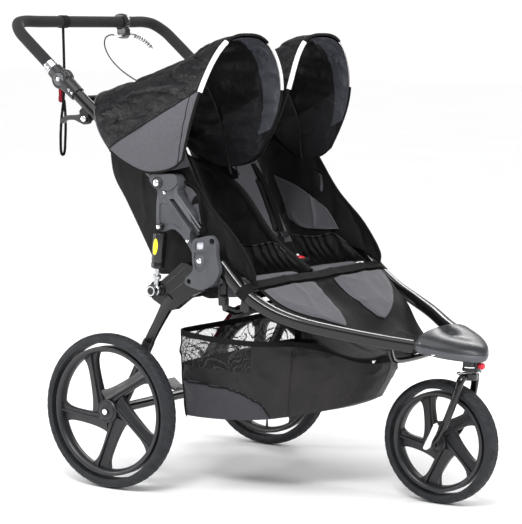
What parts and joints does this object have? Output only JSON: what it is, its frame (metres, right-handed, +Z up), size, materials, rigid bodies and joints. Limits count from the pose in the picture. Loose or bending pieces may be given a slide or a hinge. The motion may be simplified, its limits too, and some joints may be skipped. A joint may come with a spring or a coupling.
{
  "type": "jogging stroller",
  "caption": "Side-by-side double jogging stroller with a folding frame, sprung rear swing arms, a swivelling front wheel, reclining seats, hinged canopies and a cargo basket.",
  "frame": {"origin": "on the ground under the middle of the model's length and width", "axes": "+X forward to the front wheel, +Y to the riders' left, +Z up"},
  "size_m": [1.317, 0.776, 1.209],
  "materials": {
    "tyre": "moulded rubber with a fine block tread",
    "composite_black": "glass-filled nylon, satin",
    "bright_metal": "bright plated and polished metal",
    "casting_grey": "fine-textured grey moulding",
    "gloss_black": "gloss moulding",
    "foam_grip": "closed-cell foam, fine pored",
    "plastic_black": "satin moulding",
    "plastic_red": "satin moulding",
    "webbing_red": "woven webbing",
    "webbing_black": "woven webbing",
    "nylon_black": "coated nylon, low sheen, wrinkled",
    "padded_black": "padded polyester",
    "fabric_grey": "heathered grey polyester",
    "frame_black": "gloss black powder coat"
  },
  "bodies": {
    "chassis": {"seat_tube_left": "frame_black", "seat_tube_right": "frame_black", "fold_knuckle_left": "casting_grey", "fold_knuckle_right": "casting_grey", "seat_cross_frame": "frame_black", "foot_rest_bar": "plastic_black", "nose_cover": "gloss_black", "nose_shell": "casting_grey", "head_tube": "frame_black", "seat_cushion_left": "fabric_grey", "seat_cushion_right": "fabric_grey", "leg_panel": "fabric_grey", "side_wall_left": "nylon_black", "side_wall_right": "nylon_black", "basket": "nylon_black", "release_strap": "webbing_red"},
    "upper_frame": {"upper_tube_left": "frame_black", "upper_tube_right": "frame_black", "side_casting_left": "casting_grey", "side_casting_right": "casting_grey", "handle_hub_lower_left": "plastic_black", "handle_hub_lower_right": "plastic_black", "upper_cross_frame": "frame_black", "canopy_left": "nylon_black", "canopy_right": "nylon_black", "shock_body_left": "frame_black", "shock_body_right": "frame_black", "brake_cable": "plastic_black"},
    "handlebar": {"handlebar_grip": "foam_grip", "handle_hub_upper_left": "plastic_black", "handle_hub_upper_right": "plastic_black", "brake_clamp": "plastic_black"},
    "brake_lever": {"brake_lever": "bright_metal"},
    "wrist_strap": {"wrist_strap": "webbing_black"},
    "release_lever_left": {"fold_release_lever_left": "plastic_black"},
    "release_lever_right": {"fold_release_lever_right": "plastic_black"},
    "canopy_middle_left": {"canopy_middle_bow_left": "plastic_black"},
    "canopy_middle_right": {"canopy_middle_bow_right": "plastic_black"},
    "canopy_front_left": {"canopy_front_bow_left": "bright_metal"},
    "canopy_front_right": {"canopy_front_bow_right": "bright_metal"},
    "seat_hinge": {"seat_hinge_rod": "frame_black"},
    "seat_back_left": {"seat_back_left": "padded_black"},
    "seat_back_right": {"seat_back_right": "padded_black"},
    "swing_arm": {"swing_arm_left": "frame_black", "swing_arm_right": "frame_black", "rear_axle": "frame_black", "swing_pivot_pin_left": "bright_metal", "swing_pivot_pin_right": "bright_metal"},
    "shock_rod_left": {"shock_rod_left": "bright_metal"},
    "shock_rod_right": {"shock_rod_right": "bright_metal"},
    "parking_brake": {"parking_brake_pedal": "plastic_red"},
    "rear_wheel_left": {"rear_rim_left": "composite_black", "rear_tyre_left": "tyre"},
    "rear_wheel_right": {"rear_rim_right": "composite_black", "rear_tyre_right": "tyre"},
    "fork": {"fork": "frame_black"},
    "front_wheel": {"front_rim": "composite_black", "front_tyre": "tyre"},
    "quick_release": {"quick_release_lever": "bright_metal"},
    "swivel_lock": {"swivel_lock_knob": "plastic_red"}
  },
  "joints": [
    {"name": "frame_fold", "type": "hinge", "parent": "chassis", "child": "upper_frame", "pos_m": [-0.0005, 0, 0.604], "axis": [0, 1, 0], "range_deg": [0, 106], "deforming": ["canopy_left", "canopy_right", "side_wall_left", "side_wall_right"]},
    {"name": "handlebar_height", "type": "hinge", "parent": "upper_frame", "child": "handlebar", "pos_m": [-0.4565, 0, 1.041], "axis": [0, 1, 0], "range_deg": [-80, 10], "deforming": ["brake_cable"]},
    {"name": "brake_lever_squeeze", "type": "hinge", "parent": "handlebar", "child": "brake_lever", "pos_m": [-0.6275, 0.176, 1.151], "axis": [1, 0, 0], "range_deg": [0, 22], "stiffness_Nm_per_rad": 0.5, "springref_deg": -5.73},
    {"name": "wrist_strap_hang", "type": "hinge", "parent": "handlebar", "child": "wrist_strap", "pos_m": [-0.6365, -0.1, 1.187], "axis": [0, 1, 0], "range_deg": [-15, 85]},
    {"name": "release_lever_left_squeeze", "type": "hinge", "parent": "upper_frame", "child": "release_lever_left", "pos_m": [-0.3775, 0.32, 0.94], "axis": [0, 1, 0], "range_deg": [0, 22], "stiffness_Nm_per_rad": 0.6, "springref_deg": -8.59},
    {"name": "release_lever_right_squeeze", "type": "hinge", "parent": "upper_frame", "child": "release_lever_right", "pos_m": [-0.3775, -0.32, 0.94], "axis": [0, 1, 0], "range_deg": [0, 22], "stiffness_Nm_per_rad": 0.6, "springref_deg": -8.59},
    {"name": "canopy_left_tilt", "type": "hinge", "parent": "upper_frame", "child": "canopy_middle_left", "pos_m": [-0.1365, 0.34, 0.791], "axis": [0, 1, 0], "range_deg": [-30, 0]},
    {"name": "canopy_right_tilt", "type": "hinge", "parent": "upper_frame", "child": "canopy_middle_right", "pos_m": [-0.1365, -0.34, 0.791], "axis": [0, 1, 0], "range_deg": [-30, 0]},
    {"name": "canopy_left_gather", "type": "hinge", "parent": "canopy_middle_left", "child": "canopy_front_left", "pos_m": [-0.1365, 0.34, 0.791], "axis": [0, 1, 0], "range_deg": [-25, 0]},
    {"name": "canopy_right_gather", "type": "hinge", "parent": "canopy_middle_right", "child": "canopy_front_right", "pos_m": [-0.1365, -0.34, 0.791], "axis": [0, 1, 0], "range_deg": [-25, 0]},
    {"name": "seat_hinge_turn", "type": "hinge", "parent": "chassis", "child": "seat_hinge", "pos_m": [-0.1005, 0, 0.5], "axis": [0, 1, 0], "range_deg": [0, 82]},
    {"name": "recline_left", "type": "hinge", "parent": "seat_hinge", "child": "seat_back_left", "pos_m": [-0.1005, 0.156, 0.5], "axis": [0, 1, 0], "range_deg": [-25, 0]},
    {"name": "recline_right", "type": "hinge", "parent": "seat_hinge", "child": "seat_back_right", "pos_m": [-0.1005, -0.156, 0.5], "axis": [0, 1, 0], "range_deg": [-25, 0]},
    {"name": "swing_arm_fold", "type": "hinge", "parent": "chassis", "child": "swing_arm", "pos_m": [-0.0075, 0, 0.552], "axis": [0, 1, 0], "range_deg": [-65, 10], "deforming": ["release_strap"]},
    {"name": "shock_travel_left", "type": "slide", "parent": "upper_frame", "child": "shock_rod_left", "axis": [0.0861, 0, 0.9963], "range_m": [-0.006, 0.026], "stiffness_N_per_m": 5000},
    {"name": "shock_travel_right", "type": "slide", "parent": "upper_frame", "child": "shock_rod_right", "axis": [0.0861, 0, 0.9963], "range_m": [-0.006, 0.026], "stiffness_N_per_m": 5000},
    {"name": "parking_brake_press", "type": "hinge", "parent": "swing_arm", "child": "parking_brake", "pos_m": [-0.2935, 0, 0.2], "axis": [0, 1, 0], "range_deg": [-22, 0]},
    {"name": "rear_wheel_left_spin", "type": "hinge", "parent": "swing_arm", "child": "rear_wheel_left", "pos_m": [-0.2655, 0.36, 0.2], "axis": [0, 1, 0], "continuous": true},
    {"name": "rear_wheel_right_spin", "type": "hinge", "parent": "swing_arm", "child": "rear_wheel_right", "pos_m": [-0.2655, -0.36, 0.2], "axis": [0, 1, 0], "continuous": true},
    {"name": "fork_swivel", "type": "hinge", "parent": "chassis", "child": "fork", "pos_m": [0.5795, 0, 0.34], "axis": [0, 0, 1], "continuous": true},
    {"name": "front_wheel_spin", "type": "hinge", "parent": "fork", "child": "front_wheel", "pos_m": [0.5015, 0, 0.157], "axis": [0, 1, 0], "continuous": true},
    {"name": "quick_release_throw", "type": "hinge", "parent": "fork", "child": "quick_release", "pos_m": [0.5045, -0.075, 0.157], "axis": [0, 1, 0], "range_deg": [0, 160]},
    {"name": "swivel_lock_pull", "type": "slide", "parent": "chassis", "child": "swivel_lock", "axis": [1, 0, 0], "range_m": [0, 0.006], "stiffness_N_per_m": 400, "springref_m": -0.002}
  ],
  "couplings": [
    {"joint": "canopy_left_gather", "follows": "frame_fold", "ratio": -0.2333},
    {"joint": "canopy_right_gather", "follows": "frame_fold", "ratio": -0.2333},
    {"joint": "seat_hinge_turn", "follows": "frame_fold", "ratio": 0.7667},
    {"joint": "wrist_strap_hang", "follows": "handlebar_height", "ratio": -1}
  ]
}
